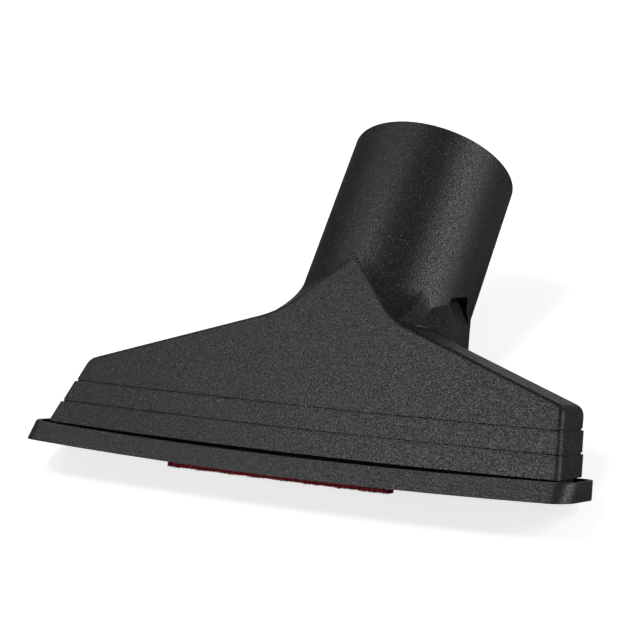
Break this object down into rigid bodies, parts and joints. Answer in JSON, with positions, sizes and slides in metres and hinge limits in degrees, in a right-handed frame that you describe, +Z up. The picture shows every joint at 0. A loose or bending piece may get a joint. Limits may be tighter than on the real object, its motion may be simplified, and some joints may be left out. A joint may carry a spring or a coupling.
{
  "type": "vacuum upholstery nozzle",
  "caption": "Push-on upholstery nozzle for a round vacuum wand: a leaning tube runs into a wide flat fan-shaped mouth with red lint strips in its lips.",
  "frame": {"origin": "on the table under the middle of the part's bounding box", "axes": "+X along the wide mouth, -Y the side the mouth and the bare front face look to, +Y the side the wand leaves to, +Z up"},
  "size_m": [0.1366, 0.1054, 0.0527],
  "materials": {
    "body_plastic": "black moulded plastic with a fine eroded grain and a soft sheen",
    "lint_pile": "short dense red pile"
  },
  "bodies": {
    "root": {"nozzle_body": "body_plastic", "pile_strip_front": "lint_pile", "pile_strip_rear": "lint_pile"}
  },
  "joints": []
}
